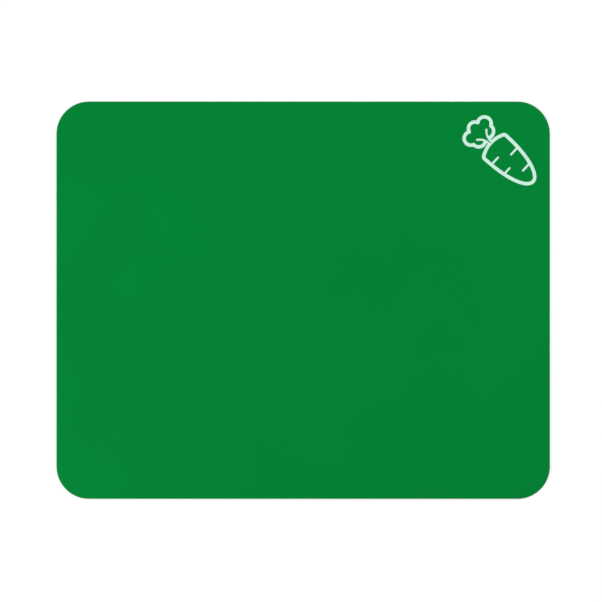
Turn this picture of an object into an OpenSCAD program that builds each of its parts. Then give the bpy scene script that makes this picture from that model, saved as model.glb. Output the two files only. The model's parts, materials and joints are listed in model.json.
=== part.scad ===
// Flexible cutting mat, lying flat with its cutting surface up.
// One die-cut sheet with rounded corners, a waffle grip back and a printed vegetable sign.
// The sheet bends, so it is divided into strips that meet at hinge lines on its top surface.

/* [Sheet] */
// Long side of the mat
mat_length = 380; // [360:1:460]
// Short side of the mat
mat_width = 306; // [220:1:360]
// Thickness of the mat over its grip ridges
sheet_thickness = 1.2; // [0.8:0.1:3]
// Radius of the four corners
corner_radius = 25; // [5:1:40]

/* [Bending] */
// Width of each flat outer panel
edge_panel_width = 76; // [72:1:90]
// Width of each strip that bends
bend_strip_width = 19; // [12:0.5:19]

/* [Grip back] */
// Wanted spacing of the waffle cells
cell_pitch = 9.5; // [6:0.5:15]
// Width of the ridges between the cells
ridge_width = 1.2; // [0.8:0.1:2]
// Height of the ridges
ridge_height = 0.3; // [0.1:0.05:0.5]
// Least plain border left round the waffle
plain_border = 3; // [1:0.5:10]

/* [Print] */
// Thickness of the ink film
ink_thickness = 0.05; // [0.02:0.01:0.2]
// Distance from the right edge to the middle of the carrot's crown
print_from_right = 45.6; // [38:0.1:47]
// Distance from the top edge to the middle of the carrot's crown
print_from_top = 31.9; // [29:0.1:40]
// Turn of the carrot on the mat
print_turn = 47.6; // [40:0.1:52]
// Width of the outline strokes
outline_stroke = 2.65; // [2:0.05:3.4]
// Width of the thin strokes
thin_stroke = 1.55; // [1:0.05:2]
// Half the width of the carrot at its shoulders
root_half_width = 12.2; // [11:0.1:13.5]
// Length of the carrot's tapering sides
root_side_length = 39.5; // [34:0.1:41]
// Width of the slit between the two stalks
slit_width = 0.7; // [0.7:0.05:1.2]
// Radius to which the wet ink rounds each inner corner
ink_spread = 0.15; // [0.05:0.05:0.3]

/* [Hidden] */
green = [0.008, 0.5, 0.21];
ink = [0.8, 0.93, 0.86];
half_length = mat_length / 2;
half_width = mat_width / 2;
// Number of bending strips on each side
bend_strips = 5;
edge_line = half_length - edge_panel_width;
centre_half = edge_line - bend_strips * bend_strip_width;
rows = 2 * floor(half_width / cell_pitch);
row_pitch = mat_width / rows;
overcut = 1;
corner_sides = 96;
cap_sides = 24;
round_sides = 16;

// How far along the sheet a bending strip starts, counted from the centre strip
function strip_start(n) = centre_half + (n - 1) * bend_strip_width;

// Crown: a shallow arc through the middle of the sign, with a small round shoulder at each end
crown_radius = 22.9;
shoulder_radius = 2.05;
shoulder_x = root_half_width - shoulder_radius;
shoulder_y = sqrt(pow(crown_radius - shoulder_radius, 2) - pow(shoulder_x, 2)) - crown_radius;
shoulder_turn = atan2(shoulder_x, shoulder_y + crown_radius);
crown_steps = 10;
shoulder_steps = 5;
// Power of the curve that tapers the sides to the tip
taper_power = 2.2;
side_steps = 12;

// Leaves: one lobe on top, two at the sides and two below, drawn for the right side.
// Each is an arc with a middle, a radius, the angles at its two ends and a number of steps.
top_lobe = [0, 16.4];
top_lobe_radius = 5.1;
top_lobe_ends = [17, 163];
side_lobe = [7.7, 13.6];
side_lobe_radius = 5.25;
side_lobe_ends = [115, -53];
low_lobe = [4.6, 8.3];
low_lobe_radius = 5.25;
low_lobe_ends = [6, -118];
lobe_steps = 12;
// Stalks: a thin arc up from the crown on each side
stalk = [11.5, 1.05];
stalk_radius = 10.35;
stalk_ends = [182, 126.6];
stalk_steps = 7;

// Ticks on the root, left and right in turn: how far down, and how far across each one's inner end lies
tick_drop = [11.7, 17.6, 23.8, 32.7];
tick_reach = [-4.7, 4.1, -4.55, 1];

// Place on the outline's side at a share of its length, 0 at the shoulder and 1 at the tip
function side_half(share) = root_half_width * sqrt(1 - pow(share, taper_power));
function side_point(angle) = [side_half(sin(angle)), shoulder_y - root_side_length * sin(angle)];
function mirrored(p) = [-p[0], p[1]];
function arc_points(middle, radius, ends, steps) = [
    for (i = [0:steps])
        let (turn = ends[0] + (ends[1] - ends[0]) * i / steps)
        middle + radius * [cos(turn), sin(turn)]
];
function unit(v) = v / norm(v);
function across(p, i) =
    let (run = unit(p[min(i + 1, len(p) - 1)] - p[max(i - 1, 0)]))
    [-run[1], run[0]];

// Outline of the whole sheet
module mat_outline() {
    reach_x = half_length - corner_radius;
    reach_y = half_width - corner_radius;
    square([2 * reach_x, mat_width], center = true);
    square([mat_length, 2 * reach_y], center = true);
    for (x = [-reach_x, reach_x], y = [-reach_y, reach_y])
        translate([x, y]) circle(r = corner_radius, $fn = corner_sides);
}

// A pocket stays if its far corner is inside the outline drawn in by the plain border
function inside(x, y) =
    let (
        over_x = max(abs(x) - (half_length - corner_radius), 0),
        over_y = max(abs(y) - (half_width - corner_radius), 0)
    )
    abs(x) <= half_length - plain_border
    && abs(y) <= half_width - plain_border
    && (over_x == 0 || over_y == 0 || norm([over_x, over_y]) <= corner_radius - plain_border);

// One part of the sheet between two lines across it, with its pockets cut into the back
module sheet_part(from, to) {
    columns = max(round((to - from) / cell_pitch), 1);
    column_pitch = (to - from) / columns;
    difference() {
        linear_extrude(sheet_thickness) intersection() {
            mat_outline();
            translate([from, -half_width]) square([to - from, mat_width]);
        }
        for (i = [0:columns - 1], j = [0:rows - 1]) {
            x = from + i * column_pitch;
            y = -half_width + j * row_pitch;
            far_x = abs(x) > abs(x + column_pitch) ? x : x + column_pitch;
            far_y = abs(y) > abs(y + row_pitch) ? y : y + row_pitch;
            if (inside(far_x, far_y))
                translate([x + ridge_width / 2, y + ridge_width / 2, -overcut])
                    cube([column_pitch - ridge_width, row_pitch - ridge_width, overcut + ridge_height]);
        }
    }
}

// A line drawn through points with a round pen
module stroke(points, width) {
    half = width / 2;
    left = [for (i = [0:len(points) - 1]) points[i] + half * across(points, i)];
    right = [for (i = [len(points) - 1:-1:0]) points[i] - half * across(points, i)];
    polygon(concat(left, right));
    for (end = [points[0], points[len(points) - 1]]) translate(end) circle(d = width, $fn = cap_sides);
}

// The same line on the right and the left of the sign
module stroke_pair(points, width) {
    stroke(points, width);
    stroke([for (p = points) mirrored(p)], width);
}

// The carrot's outline, closed at the tip
module root_outline() {
    right_side = [for (i = [0:side_steps]) side_point(90 * i / side_steps)];
    left_side = [for (i = [side_steps - 1:-1:0]) mirrored(side_point(90 * i / side_steps))];
    stroke(concat(right_side, left_side), outline_stroke);
    crown_ends = [90 - shoulder_turn, 90 + shoulder_turn];
    stroke(arc_points([0, -crown_radius], crown_radius, crown_ends, crown_steps), outline_stroke);
    shoulder_ends = [0, 90 - shoulder_turn];
    shoulder = [shoulder_x, shoulder_y];
    stroke_pair(arc_points(shoulder, shoulder_radius, shoulder_ends, shoulder_steps), outline_stroke);
}

module ticks() {
    for (i = [0:len(tick_drop) - 1]) {
        share = (tick_drop[i] + shoulder_y) / root_side_length;
        side = i % 2 == 0 ? -1 : 1;
        stroke([[tick_reach[i], -tick_drop[i]], [side * side_half(share), -tick_drop[i]]], thin_stroke);
    }
}

module leaves() {
    stroke(arc_points(top_lobe, top_lobe_radius, top_lobe_ends, lobe_steps), outline_stroke);
    stroke_pair(arc_points(side_lobe, side_lobe_radius, side_lobe_ends, lobe_steps), outline_stroke);
    stroke_pair(arc_points(low_lobe, low_lobe_radius, low_lobe_ends, lobe_steps), outline_stroke);
    stroke_pair(arc_points(stalk, stalk_radius, stalk_ends, stalk_steps), thin_stroke);
}

// The slit between the stalks runs on into the crown, as far as the middle of its line
module slit() {
    translate([-slit_width / 2, 0]) square([slit_width, outline_stroke]);
}

module sign_lines() {
    difference() {
        union() {
            root_outline();
            ticks();
            leaves();
        }
        slit();
    }
}

module carrot_print() {
    color(ink)
        translate([half_length - print_from_right, half_width - print_from_top, sheet_thickness])
            rotate(print_turn)
                linear_extrude(ink_thickness)
                    offset(r = -ink_spread, $fn = round_sides) offset(r = ink_spread, $fn = round_sides)
                        sign_lines();
}

module sheet_centre() {
    color(green) sheet_part(-centre_half, centre_half);
}

module sheet_right(n) {
    color(green) sheet_part(strip_start(n), strip_start(n + 1));
}

module sheet_left(n) {
    color(green) sheet_part(-strip_start(n + 1), -strip_start(n));
}

module sheet_right_edge() {
    color(green) sheet_part(edge_line, half_length);
}

module sheet_left_edge() {
    color(green) sheet_part(-half_length, -edge_line);
}

sheet_centre();
for (n = [1:bend_strips]) {
    sheet_left(n);
    sheet_right(n);
}
sheet_left_edge();
sheet_right_edge();
carrot_print();
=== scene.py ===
"""A flexible cutting mat with a printed carrot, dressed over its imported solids."""
import json
import math

import bmesh
import bpy
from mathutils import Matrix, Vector


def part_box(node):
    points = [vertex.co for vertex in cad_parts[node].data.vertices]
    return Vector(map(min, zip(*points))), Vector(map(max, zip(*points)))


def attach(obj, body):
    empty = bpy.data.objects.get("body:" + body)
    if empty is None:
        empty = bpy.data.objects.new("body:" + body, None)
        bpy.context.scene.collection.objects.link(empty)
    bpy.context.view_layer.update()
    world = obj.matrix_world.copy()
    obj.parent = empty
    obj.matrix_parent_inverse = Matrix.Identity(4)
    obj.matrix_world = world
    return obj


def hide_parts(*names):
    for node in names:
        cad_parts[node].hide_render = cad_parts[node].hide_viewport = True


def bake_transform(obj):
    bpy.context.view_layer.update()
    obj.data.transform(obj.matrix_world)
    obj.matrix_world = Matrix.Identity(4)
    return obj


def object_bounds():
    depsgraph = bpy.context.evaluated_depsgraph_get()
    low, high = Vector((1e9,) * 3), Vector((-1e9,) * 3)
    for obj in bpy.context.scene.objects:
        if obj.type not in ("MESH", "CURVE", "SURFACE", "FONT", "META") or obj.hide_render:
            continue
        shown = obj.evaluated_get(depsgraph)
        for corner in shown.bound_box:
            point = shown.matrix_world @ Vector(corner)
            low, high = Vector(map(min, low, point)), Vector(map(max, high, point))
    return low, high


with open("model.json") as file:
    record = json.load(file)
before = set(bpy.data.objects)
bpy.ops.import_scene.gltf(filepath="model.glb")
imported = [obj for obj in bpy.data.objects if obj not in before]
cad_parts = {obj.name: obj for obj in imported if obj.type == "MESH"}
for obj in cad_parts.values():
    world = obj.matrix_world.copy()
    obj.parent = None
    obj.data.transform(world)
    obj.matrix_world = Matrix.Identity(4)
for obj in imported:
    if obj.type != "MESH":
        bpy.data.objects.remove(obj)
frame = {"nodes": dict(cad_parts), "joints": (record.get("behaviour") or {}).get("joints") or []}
cad_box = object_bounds()

# Sizes of the sheet in metres, from the frame where it holds them
HALF_LENGTH, HALF_WIDTH = cad_box[1][:2]
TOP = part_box("sheet_centre")[1][2]
CORNER = 0.025
CORNER_STEPS = 24
EDGE_ROUND = 0.0003
EDGE_STEPS = 4
# Places that differ by less than this are the same
ROUNDING = 1e-7

# Bending: the hinge lines of one side, counted from the middle
HINGES = sorted(joint["pos_m"][0] for joint in frame["joints"] if joint["pos_m"][0] > 0)
STRIP_WIDTH = HINGES[1] - HINGES[0]

# Waffle grip on the back: one plain cell is left all round as a border
CELL_PITCH = 0.0095
ROWS = 2 * math.floor(HALF_WIDTH / CELL_PITCH + ROUNDING)
ROW_PITCH = 2 * HALF_WIDTH / ROWS
RIDGE_WIDTH = 0.0012
RIDGE_HEIGHT = 0.0003
POCKET_DRAFT = 0.00022
# Lines this far from a pocket's wall keep its soft edge narrow
SOFT_EDGE = 0.00015
# Steps along and across each pocket's floor. The steps along the mat follow the bend
STEPS_ALONG = 3
STEPS_ACROSS = 1

# Distance of the last line of faces from a cut, so that both sides of a seam shade alike
SEAM_LINE = 0.00005
# A tongue on the outer end of each bending piece closes the seam as it bends. It ends inside the ridge on
# the seam, so it is shorter than half a ridge, and a little thinner at its tip
TONGUE_LENGTH = 0.00055
TONGUE_TAPER = 0.00003
# Faces that meet at a steeper angle than this stay sharp
SHARP_ANGLE = math.radians(62)

# A low level keeps the gloss of the lamps and of the white surround from greying the green
SPECULAR_LEVEL = 0.05

# The floor lies just under the mat. To the eye it is part glow and part lit, and white further out
FLOOR_GAP = 0.0002
FLOOR_HALF = 3
FLOOR_GLOW = 0.68
FLOOR_LIT = 0.35
FADE_START = 0.5
FADE_END = 1.3
# To all other rays the floor is a plain light grey, and the world a faint even light
FLOOR_GREY = 0.8
WORLD_LIGHT = 0.04

# Name, place, size and power of each lamp. All point at the middle of the mat
LAMPS = [
    ("lamp_back_right", (0.92, 0.92, 0.9), 0.6, 19.2),
    ("lamp_left", (-1.3, 0, 0.9), 0.6, 11.5),
    ("lamp_front_left", (-0.92, -0.92, 0.9), 0.6, 11.5),
    ("lamp_front", (0.5, -1.2, 0.9), 0.6, 3.2),
    ("lamp_below_left", (-0.9, -0.5, -1.2), 0.9, 16),
    ("lamp_below_right", (0.7, 0.6, -1.3), 0.9, 12),
]

# The photo's frame and the mat's length and middle in it, in pixels
PHOTO_SIDE = 602
MAT_LENGTH_IN_PHOTO = 493.5
MAT_MIDDLE_IN_PHOTO = (303.2, 300.2)
CAMERA_HEIGHT = 2.4
SENSOR_WIDTH = 36


def linear(r, g, b):
    """An sRGB colour in 0 to 255 as linear values."""
    shares = [c / 255 for c in (r, g, b)]
    return [c / 12.92 if c <= 0.04045 else ((c + 0.055) / 1.055) ** 2.4 for c in shares] + [1]


def grey(level):
    """A grey of this linear level, where 1 is white."""
    return [level, level, level, 1]


def mixed(nodes, links, share, first, second):
    """One shader that goes from the first to the second as the share goes from 0 to 1."""
    mix = nodes.new("ShaderNodeMixShader")
    links.new(share, mix.inputs["Fac"])
    links.new(first, mix.inputs[1])
    links.new(second, mix.inputs[2])
    return mix.outputs["Shader"]


def seen_by_eye(nodes, links):
    """1 for a ray that shows the surround, straight, in a gloss or through something clear, else 0."""
    path = nodes.new("ShaderNodeLightPath")
    seen = path.outputs["Is Camera Ray"]
    for kind in ("Is Glossy Ray", "Is Transmission Ray"):
        either = nodes.new("ShaderNodeMath")
        either.operation = "MAXIMUM"
        links.new(seen, either.inputs[0])
        links.new(path.outputs[kind], either.inputs[1])
        seen = either.outputs["Value"]
    return seen


class Finish:
    """A node material, with the steps that the finishes here share."""

    def __init__(self, name):
        self.material = bpy.data.materials.new(name)
        self.material.use_nodes = True
        self.nodes = self.material.node_tree.nodes
        self.links = self.material.node_tree.links
        self.shader = self.nodes["Principled BSDF"]

    def noise(self, scale, detail):
        place = self.nodes.new("ShaderNodeTexCoord")
        noise = self.nodes.new("ShaderNodeTexNoise")
        noise.inputs["Scale"].default_value = scale
        noise.inputs["Detail"].default_value = detail
        self.links.new(place.outputs["Object"], noise.inputs["Vector"])
        return noise.outputs["Fac"]

    def tint(self, value, low_colour, high_colour):
        """Colour the surface between two colours, most of it somewhere between them."""
        ramp = self.nodes.new("ShaderNodeValToRGB")
        low, high = ramp.color_ramp.elements
        low.position, high.position = 0.3, 0.7
        low.color, high.color = low_colour, high_colour
        self.links.new(value, ramp.inputs["Fac"])
        self.links.new(ramp.outputs["Color"], self.shader.inputs["Base Color"])

    def roughness(self, value, low, high):
        spread = self.nodes.new("ShaderNodeMapRange")
        spread.inputs["To Min"].default_value = low
        spread.inputs["To Max"].default_value = high
        self.links.new(value, spread.inputs["Value"])
        self.links.new(spread.outputs["Result"], self.shader.inputs["Roughness"])

    def bump(self, value, strength, distance, under=None):
        bump = self.nodes.new("ShaderNodeBump")
        bump.inputs["Strength"].default_value = strength
        bump.inputs["Distance"].default_value = distance
        self.links.new(value, bump.inputs["Height"])
        if under:
            self.links.new(under, bump.inputs["Normal"])
        return bump.outputs["Normal"]


def sheet_finish():
    """Satin green polypropylene with a fine grain, a faint cloudiness and the waviness of a thin sheet."""
    finish = Finish("green_polypropylene")
    clouds = finish.noise(scale=9, detail=3)
    finish.tint(clouds, linear(0, 123, 49), linear(0, 126, 52))
    grain = finish.noise(scale=1400, detail=4)
    finish.roughness(grain, low=0.28, high=0.34)
    waves = finish.bump(finish.noise(scale=14, detail=1), strength=1, distance=0.0004)
    relief = finish.bump(grain, strength=0.25, distance=0.00005, under=waves)
    finish.links.new(relief, finish.shader.inputs["Normal"])
    finish.shader.inputs["Specular IOR Level"].default_value = SPECULAR_LEVEL
    return finish.material


def ink_finish():
    """Matt off-white ink, a little uneven where the mesh of the screen laid it."""
    finish = Finish("screen_ink")
    spread = finish.noise(scale=260, detail=5)
    finish.tint(spread, linear(194, 230, 214), linear(204, 237, 222))
    relief = finish.bump(spread, strength=0.2, distance=0.00003)
    finish.links.new(relief, finish.shader.inputs["Normal"])
    finish.shader.inputs["Roughness"].default_value = 0.5
    finish.shader.inputs["Specular IOR Level"].default_value = SPECULAR_LEVEL
    return finish.material


def lattice(low, high, cells, steps):
    """Lines across a row of cells, as (place, whether the top face needs it).

    Each ridge has its soft edges, and each pocket's floor its steps. The top face is plain, so it takes
    only the lines between cells, the steps inside each floor and the lines at the cuts."""
    pitch = (high - low) / cells
    half = RIDGE_WIDTH / 2
    foot = half + POCKET_DRAFT
    lines = [(low + SEAM_LINE, True), (high - SEAM_LINE, True), (high, True)]
    for cell in range(cells):
        start, stop = low + cell * pitch, low + (cell + 1) * pitch
        floor_from, floor_to = start + foot + SOFT_EDGE, stop - foot - SOFT_EDGE
        floor = floor_to - floor_from
        walls = [start + half - SOFT_EDGE, start + half, start + foot]
        walls += [stop - foot, stop - half, stop - half + SOFT_EDGE]
        lines.append((start, True))
        lines += [(wall, False) for wall in walls]
        lines += [(floor_from + floor * k / steps, 0 < k < steps) for k in range(steps + 1)]
    return sorted(lines)


def is_pocket(value, low, pitch):
    """True over a pocket's floor and False on a ridge, in one direction."""
    along = (value - low) % pitch
    return min(along, pitch - along) > (RIDGE_WIDTH + POCKET_DRAFT) / 2


def edge_profile():
    """(inset, height) down the sheet's rounded edge, from the top face to the back."""
    turns = [math.pi / 2 * k / EDGE_STEPS for k in range(EDGE_STEPS + 1)]
    upper = [(EDGE_ROUND * (1 - math.sin(a)), TOP - EDGE_ROUND * (1 - math.cos(a))) for a in turns]
    lower = [(EDGE_ROUND * (1 - math.cos(a)), EDGE_ROUND * (1 - math.sin(a))) for a in turns]
    return upper + lower


class Stretch:
    """A stretch of the sheet between two cuts across it, as one closed mesh.

    end is -1 or 1 if it reaches the mat's short edge on that side, and tongue is -1 or 1 if a tongue grows
    from the cut on that side. The top face and the back each have a grid of points inside the border, by
    column and row. The rim joins the two round the edge."""

    def __init__(self, low, high, end=0, tongue=0):
        self.low, self.end = low, end
        cells = round((high - low) / CELL_PITCH)
        self.pitch = (high - low) / cells
        self.mesh = bmesh.new()
        reach_x = HALF_LENGTH - self.pitch + ROUNDING
        reach_y = HALF_WIDTH - ROW_PITCH + ROUNDING
        columns = lattice(low, high, cells, STEPS_ALONG)
        columns = [(x, on_top) for x, on_top in columns if not end or abs(x) <= reach_x]
        rows = lattice(-HALF_WIDTH, HALF_WIDTH, ROWS, STEPS_ACROSS)
        rows = [(y, on_top) for y, on_top in rows if abs(y) <= reach_y]
        self.columns = [x for x, _ in columns]
        self.rows = [y for y, _ in rows]
        self.far = len(columns) - 1 if end > 0 else 0
        top_columns = [i for i, (_, on_top) in enumerate(columns) if on_top]
        top_rows = [j for j, (_, on_top) in enumerate(rows) if on_top]
        self.top = self.make_grid(top_columns, top_rows, lambda x, y: TOP)
        self.back = self.make_grid(range(len(columns)), range(len(rows)), self.depth)
        for run in self.rim_runs():
            self.add_rim(run)
        for side, cut in ((-1, low), (1, high)):
            if side == end:
                continue
            edges = self.cut_edges(cut)
            if side == tongue:
                edges = self.add_tongue(*edges, side * TONGUE_LENGTH)
            self.close(*edges)
        bmesh.ops.recalc_face_normals(self.mesh, faces=self.mesh.faces)

    def depth(self, x, y):
        """How far the back lies above the floor."""
        in_border = abs(y) > HALF_WIDTH - ROW_PITCH or (self.end and abs(x) > HALF_LENGTH - self.pitch)
        over_pocket = is_pocket(x, self.low, self.pitch) and is_pocket(y, -HALF_WIDTH, ROW_PITCH)
        return RIDGE_HEIGHT if over_pocket and not in_border else 0

    def make_grid(self, across, along, height):
        """Points on the given columns and rows, with faces between them."""
        grid = {}
        for i in across:
            for j in along:
                x, y = self.columns[i], self.rows[j]
                grid[i, j] = self.mesh.verts.new((x, y, height(x, y)))
        for i, next_i in zip(across, across[1:]):
            for j, next_j in zip(along, along[1:]):
                self.mesh.faces.new((grid[i, j], grid[next_i, j], grid[next_i, next_j], grid[i, next_j]))
        return grid

    def rim_runs(self):
        """The rim's points in order, as (place, outward direction, grid index or None on a corner)."""
        last_row = len(self.rows) - 1
        front = [((x, -HALF_WIDTH), (0, -1), (i, 0)) for i, x in enumerate(self.columns)]
        rear = [((x, HALF_WIDTH), (0, 1), (i, last_row)) for i, x in enumerate(self.columns)]
        if not self.end:
            return [front, rear]
        corner_x, corner_y = HALF_LENGTH - CORNER, HALF_WIDTH - CORNER
        front = [point for point in front if abs(point[0][0]) <= corner_x + ROUNDING]
        rear = [point for point in rear if abs(point[0][0]) <= corner_x + ROUNDING]
        side = [
            ((self.end * HALF_LENGTH, y), (self.end, 0), (self.far, j))
            for j, y in enumerate(self.rows)
            if abs(y) <= corner_y + ROUNDING
        ]
        arc = []
        for k in range(CORNER_STEPS + 1):
            turn = math.pi / 2 * k / CORNER_STEPS
            out = (self.end * math.sin(turn), math.cos(turn))
            arc.append(((self.end * corner_x + CORNER * out[0], corner_y + CORNER * out[1]), out, None))
        front_arc = [((x, -y), (out_x, -out_y), None) for (x, y), (out_x, out_y), _ in arc]
        if self.end < 0:
            front.reverse()
            rear.reverse()
        return [front + front_arc + side + arc[::-1] + rear[::-1]]

    def border_path(self, a, b):
        """Grid indices from a to b along the grid's border, round its corner if they share no line."""
        if a[0] == b[0] or a[1] == b[1]:
            return [a, b]
        turn = (self.far, b[1] if a[0] == self.far else a[1])
        path = [a]
        for goal in (turn, b):
            while path[-1] != goal:
                i, j = path[-1]
                path.append((i + (goal[0] > i) - (goal[0] < i), j + (goal[1] > j) - (goal[1] < j)))
        return path

    def add_rim(self, run):
        rings = [
            [self.mesh.verts.new((x - out_x * inset, y - out_y * inset, z)) for inset, z in edge_profile()]
            for (x, y), (out_x, out_y), _ in run
        ]
        for ring, following in zip(rings, rings[1:]):
            for m in range(len(ring) - 1):
                self.mesh.faces.new((ring[m], ring[m + 1], following[m + 1], following[m]))
        for grid, level in ((self.top, 0), (self.back, -1)):
            marks = [k for k, (_, _, index) in enumerate(run) if index in grid]
            for start, stop in zip(marks, marks[1:]):
                outer = [ring[level] for ring in rings[start:stop + 1]]
                path = self.border_path(run[stop][2], run[start][2])
                self.mesh.faces.new(outer + [grid[index] for index in path if index in grid])

    def cut_edges(self, cut):
        """The points of the top and those of the back along a cut, each from front to rear."""
        points = [point for point in self.mesh.verts if abs(point.co.x - cut) < SEAM_LINE / 2]
        points.sort(key=lambda point: point.co.y)
        return [p for p in points if p.co.z > TOP / 2], [p for p in points if p.co.z < TOP / 2]

    def drawn_in(self, point, run, lift):
        """A new point, further along the mat and a little nearer the middle of the section."""
        x, y, z = point.co
        return self.mesh.verts.new((x + run, y * (1 - TONGUE_TAPER / HALF_WIDTH), z + lift))

    def add_tongue(self, top, back, run):
        """Grow a tapered tongue from the two edges of a cut, and give the two edges of its tip."""
        tip_top = [self.drawn_in(point, run, -TONGUE_TAPER) for point in top]
        tip_back = [self.drawn_in(point, run, TONGUE_TAPER) for point in back]
        root, tip = top + back[::-1], tip_top + tip_back[::-1]
        for k in range(len(root)):
            self.mesh.faces.new((root[k - 1], root[k], tip[k], tip[k - 1]))
        return tip_top, tip_back

    def close(self, top, back):
        """Fill the space between two edges with triangles, from front to rear."""
        newest = {}
        for point in sorted(top + back, key=lambda point: point.co.y):
            if len(newest) == 2:
                self.mesh.faces.new((*newest.values(), point))
            newest["top" if point.co.z > TOP / 2 else "back"] = point

    def make_piece(self, name):
        data = bpy.data.meshes.new(name)
        self.mesh.to_mesh(data)
        self.mesh.free()
        piece = bpy.data.objects.new(name, data)
        bpy.context.scene.collection.objects.link(piece)
        for polygon in data.polygons:
            polygon.use_smooth = True
        data.set_sharp_from_angle(angle=SHARP_ANGLE)
        return piece


def finish_piece(piece, material, node):
    piece.data.materials.append(material)
    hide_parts(node)


def make_sheet():
    """The middle piece, and on each side one piece for each bend, half a strip either way of its hinge."""
    green = sheet_finish()
    half = STRIP_WIDTH / 2
    middle = Stretch(half - HINGES[0], HINGES[0] - half).make_piece("sheet_middle")
    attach(middle, "centre")
    finish_piece(middle, green, "sheet_centre")
    for side, sign in (("left", -1), ("right", 1)):
        for number, hinge in enumerate(HINGES, 1):
            is_last = number == len(HINGES)
            node = f"sheet_{side}_edge" if is_last else f"sheet_{side}_{number}"
            near = hinge - half
            far = HALF_LENGTH if is_last else hinge + half
            outer = {"end": sign} if is_last else {"tongue": sign}
            stretch = Stretch(*sorted((sign * near, sign * far)), **outer)
            piece = stretch.make_piece(f"sheet_{side}_bend_{number}")
            finish_piece(piece, green, node)
            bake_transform(piece)


def dress_print():
    """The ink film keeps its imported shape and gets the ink's finish."""
    ink = frame["nodes"]["carrot_print"]
    ink.data.materials.clear()
    ink.data.materials.append(ink_finish())


def floor_finish():
    """White to the eye, with the mat's soft shadow near it, and clear from below."""
    finish = Finish("pale_floor")
    nodes, links = finish.nodes, finish.links
    finish.shader.inputs["Base Color"].default_value = grey(FLOOR_GREY)
    finish.shader.inputs["Roughness"].default_value = 0.9
    lit = nodes.new("ShaderNodeBsdfDiffuse")
    lit.inputs["Color"].default_value = grey(FLOOR_LIT)
    glow = nodes.new("ShaderNodeEmission")
    glow.inputs["Strength"].default_value = FLOOR_GLOW
    near = nodes.new("ShaderNodeAddShader")
    links.new(lit.outputs["BSDF"], near.inputs[0])
    links.new(glow.outputs["Emission"], near.inputs[1])
    far = nodes.new("ShaderNodeEmission")
    far.inputs["Strength"].default_value = 1
    geometry = nodes.new("ShaderNodeNewGeometry")
    distance = nodes.new("ShaderNodeVectorMath")
    distance.operation = "LENGTH"
    links.new(geometry.outputs["Position"], distance.inputs[0])
    fade = nodes.new("ShaderNodeMapRange")
    fade.interpolation_type = "SMOOTHSTEP"
    fade.inputs["From Min"].default_value = FADE_START
    fade.inputs["From Max"].default_value = FADE_END
    links.new(distance.outputs["Value"], fade.inputs["Value"])
    white = mixed(nodes, links, fade.outputs["Result"], near.outputs["Shader"], far.outputs["Emission"])
    upper = mixed(nodes, links, seen_by_eye(nodes, links), finish.shader.outputs["BSDF"], white)
    clear = nodes.new("ShaderNodeBsdfTransparent")
    surface = mixed(nodes, links, geometry.outputs["Backfacing"], upper, clear.outputs["BSDF"])
    links.new(surface, nodes["Material Output"].inputs["Surface"])
    return finish.material


def make_floor():
    mesh = bmesh.new()
    bmesh.ops.create_grid(mesh, x_segments=1, y_segments=1, size=FLOOR_HALF)
    data = bpy.data.meshes.new("floor")
    mesh.to_mesh(data)
    mesh.free()
    data.materials.append(floor_finish())
    floor = bpy.data.objects.new("floor", data)
    floor.location.z = -FLOOR_GAP
    # The lamps below the floor light the back of the mat
    floor.visible_shadow = False
    bpy.context.scene.collection.objects.link(floor)


def make_world():
    """White to the eye, and a faint even light to all else."""
    world = bpy.data.worlds.new("studio")
    bpy.context.scene.world = world
    world.use_nodes = True
    nodes, links = world.node_tree.nodes, world.node_tree.links
    soft = nodes["Background"]
    soft.inputs["Color"].default_value = grey(1)
    soft.inputs["Strength"].default_value = WORLD_LIGHT
    white = nodes.new("ShaderNodeBackground")
    white.inputs["Color"].default_value = grey(1)
    white.inputs["Strength"].default_value = 1
    seen = seen_by_eye(nodes, links)
    surface = mixed(nodes, links, seen, soft.outputs["Background"], white.outputs["Background"])
    links.new(surface, nodes["World Output"].inputs["Surface"])


def make_lights():
    """Soft lamps low on all sides, stronger on the left and behind as in the photo, and two from below."""
    for name, place, size, watts in LAMPS:
        lamp = bpy.data.lights.new(name, "AREA")
        lamp.shape = "SQUARE"
        lamp.size = size
        lamp.energy = watts
        holder = bpy.data.objects.new(name, lamp)
        holder.location = place
        holder.rotation_euler = Vector(place).to_track_quat("Z", "Y").to_euler()
        holder.visible_camera = False
        bpy.context.scene.collection.objects.link(holder)


def make_camera():
    """Straight above with a long lens, set so that the mat stands where it does in the photo."""
    scale = MAT_LENGTH_IN_PHOTO / (2 * HALF_LENGTH)
    camera = bpy.data.cameras.new("camera")
    camera.sensor_fit = "HORIZONTAL"
    camera.sensor_width = SENSOR_WIDTH
    camera.lens = SENSOR_WIDTH * (CAMERA_HEIGHT - TOP) * scale / PHOTO_SIDE
    holder = bpy.data.objects.new("camera", camera)
    holder.location = (
        (PHOTO_SIDE / 2 - MAT_MIDDLE_IN_PHOTO[0]) / scale,
        (MAT_MIDDLE_IN_PHOTO[1] - PHOTO_SIDE / 2) / scale,
        CAMERA_HEIGHT,
    )
    bpy.context.scene.collection.objects.link(holder)
    bpy.context.scene.camera = holder


make_camera()
make_sheet()
dress_print()
make_floor()
make_world()
make_lights()
bpy.context.scene.view_settings.view_transform = "Standard"
